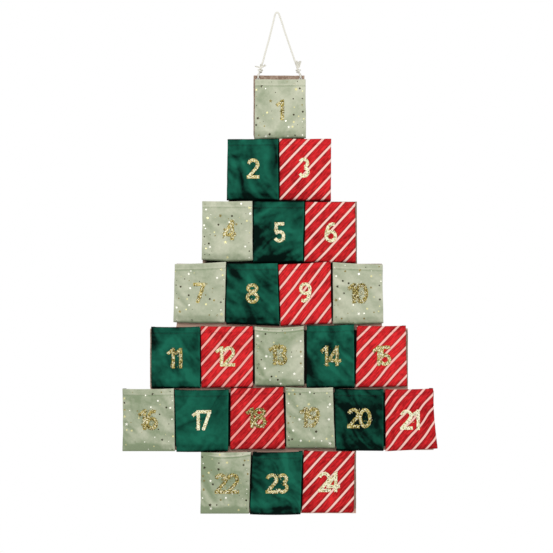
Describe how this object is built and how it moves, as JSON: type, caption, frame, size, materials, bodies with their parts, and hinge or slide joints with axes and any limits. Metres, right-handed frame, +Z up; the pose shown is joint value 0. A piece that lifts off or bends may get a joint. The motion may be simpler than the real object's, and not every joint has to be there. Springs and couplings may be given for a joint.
{
  "type": "hanging pocket advent calendar",
  "caption": "Stepped tree of felt hung by a knotted cord, with rows of numbered open-topped cloth pockets for small gifts.",
  "frame": {"origin": "where a nail or hook bears on the underside of the hanging cord's bend", "axes": "+Z up, -Y out of the front where the pockets and numbers are, +X to the right as seen from the front"},
  "size_m": [0.6069, 0.0246, 0.9698],
  "materials": {
    "felt": "pressed taupe felt",
    "sage_cloth": "sage velvet with small foil dots and stars",
    "green_velvet": "dark green crushed velvet",
    "red_striped_cloth": "red velvet with slanting pale stripes",
    "gold_glitter_film": "gold glitter film",
    "cotton_cord": "cream twisted cotton"
  },
  "bodies": {
    "cord": {"hanging_cord": "cotton_cord", "left_cord_knot": "cotton_cord", "right_cord_knot": "cotton_cord"},
    "calendar": {"felt_backing": "felt", "pocket_01": "sage_cloth", "pocket_02": "green_velvet", "pocket_03": "red_striped_cloth", "pocket_04": "sage_cloth", "pocket_05": "green_velvet", "pocket_06": "red_striped_cloth", "pocket_07": "sage_cloth", "pocket_08": "green_velvet", "pocket_09": "red_striped_cloth", "pocket_10": "sage_cloth", "pocket_11": "green_velvet", "pocket_12": "red_striped_cloth", "pocket_13": "sage_cloth", "pocket_14": "green_velvet", "pocket_15": "red_striped_cloth", "pocket_16": "sage_cloth", "pocket_17": "green_velvet", "pocket_18": "red_striped_cloth", "pocket_19": "sage_cloth", "pocket_20": "green_velvet", "pocket_21": "red_striped_cloth", "pocket_22": "sage_cloth", "pocket_23": "green_velvet", "pocket_24": "red_striped_cloth", "number_01": "gold_glitter_film", "number_02": "gold_glitter_film", "number_03": "gold_glitter_film", "number_04": "gold_glitter_film", "number_05": "gold_glitter_film", "number_06": "gold_glitter_film", "number_07": "gold_glitter_film", "number_08": "gold_glitter_film", "number_09": "gold_glitter_film", "number_10": "gold_glitter_film", "number_11": "gold_glitter_film", "number_12": "gold_glitter_film", "number_13": "gold_glitter_film", "number_14": "gold_glitter_film", "number_15": "gold_glitter_film", "number_16": "gold_glitter_film", "number_17": "gold_glitter_film", "number_18": "gold_glitter_film", "number_19": "gold_glitter_film", "number_20": "gold_glitter_film", "number_21": "gold_glitter_film", "number_22": "gold_glitter_film", "number_23": "gold_glitter_film", "number_24": "gold_glitter_film"}
  },
  "joints": [
    {"name": "calendar_swing", "type": "hinge", "parent": "cord", "child": "calendar", "pos_m": [0.0043, 0, -0.1225], "axis": [1, 0, 0], "range_deg": [-90, 90]}
  ]
}
